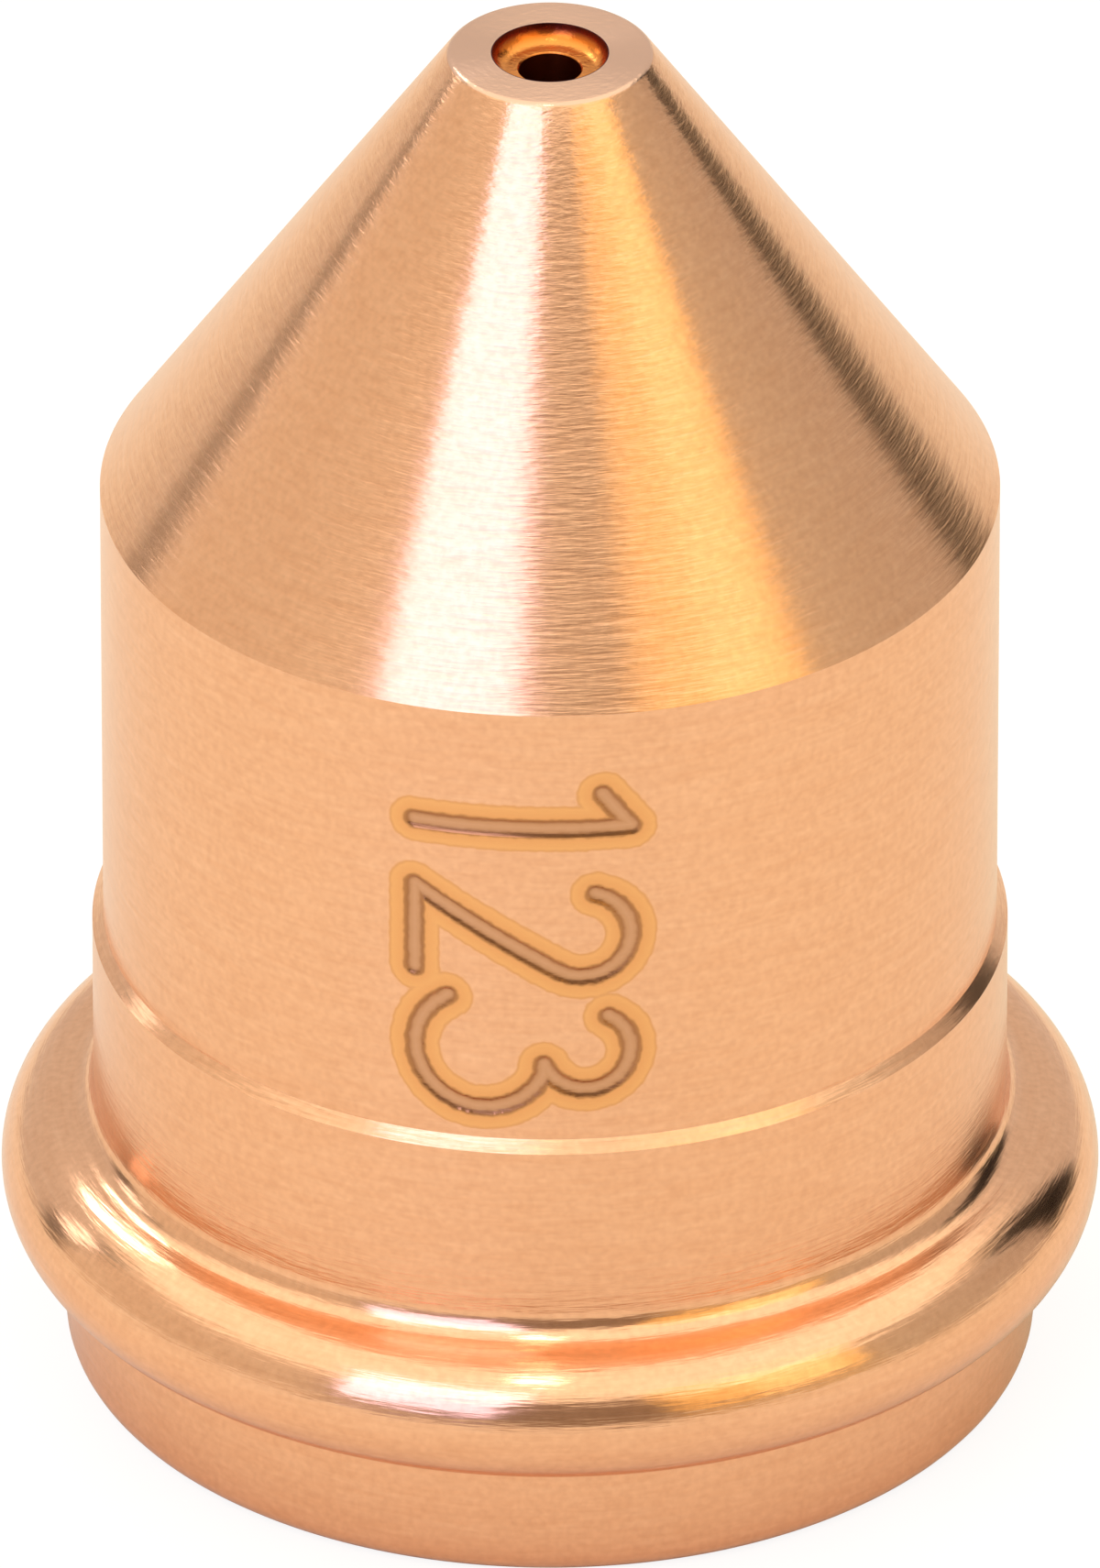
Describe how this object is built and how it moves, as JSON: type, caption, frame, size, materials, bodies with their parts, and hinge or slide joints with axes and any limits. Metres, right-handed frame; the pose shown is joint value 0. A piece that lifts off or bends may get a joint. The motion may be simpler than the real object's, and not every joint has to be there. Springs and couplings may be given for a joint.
{
  "type": "plasma torch nozzle",
  "caption": "Turned copper nozzle for a plasma cutting torch: conical tip with a small flared orifice, straight body, rounded flange and a bored chamber open at the rear.",
  "frame": {"origin": "centre of the flat rear face, on the nozzle's axis", "axes": "+Z along the axis from the rear face towards the tip; +X and +Y are equivalent because the nozzle is turned"},
  "size_m": [0.016, 0.016, 0.0214],
  "materials": {
    "turned_copper": "satin turned copper, slightly heat tinted"
  },
  "bodies": {
    "root": {"nozzle": "turned_copper"}
  },
  "joints": []
}
